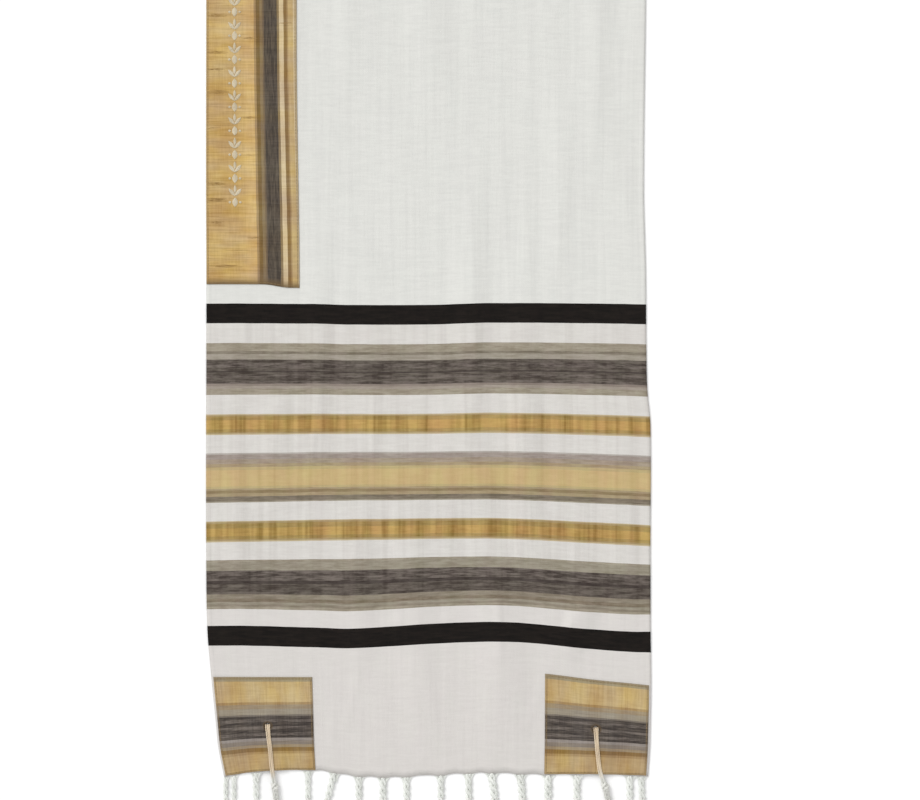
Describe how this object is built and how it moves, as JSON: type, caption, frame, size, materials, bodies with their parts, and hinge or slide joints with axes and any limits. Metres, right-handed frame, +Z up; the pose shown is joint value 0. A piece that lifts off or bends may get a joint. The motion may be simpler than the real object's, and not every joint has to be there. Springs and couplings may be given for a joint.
{
  "type": "tallit prayer shawl",
  "caption": "White woven tallit prayer shawl with gold, charcoal and black stripes, gold neckband, corner patches, knotted tassels and fringe, laid out flat.",
  "frame": {"origin": "on the surface the shawl lies on, under the middle of its outline", "axes": "+X across the cloth, away from the long edge that carries the neckband; +Y along the cloth's length; +Z up, away from the surface, on the side where the neckband and corner patches are sewn"},
  "size_m": [0.4548, 2.4012, 0.0071],
  "materials": {
    "white_wool": "matte plain weave with woven stripes of black, charcoal, grey and gold yarn",
    "gold_raw_silk": "soft sheen, slubbed raw silk with charcoal and grey bands",
    "white_string": "matte twisted wool string"
  },
  "bodies": {
    "root": {"main_cloth": "white_wool", "neckband": "gold_raw_silk", "corner_patch_near_left": "gold_raw_silk", "corner_patch_near_right": "gold_raw_silk", "corner_patch_far_left": "gold_raw_silk", "corner_patch_far_right": "gold_raw_silk", "fringe_near": "white_string", "fringe_far": "white_string", "tassel_loop_near_left": "white_string", "tassel_loop_near_right": "white_string", "tassel_loop_far_left": "white_string", "tassel_loop_far_right": "white_string", "tassel_near_left": "white_string", "tassel_near_right": "white_string", "tassel_far_left": "white_string", "tassel_far_right": "white_string"}
  },
  "joints": []
}
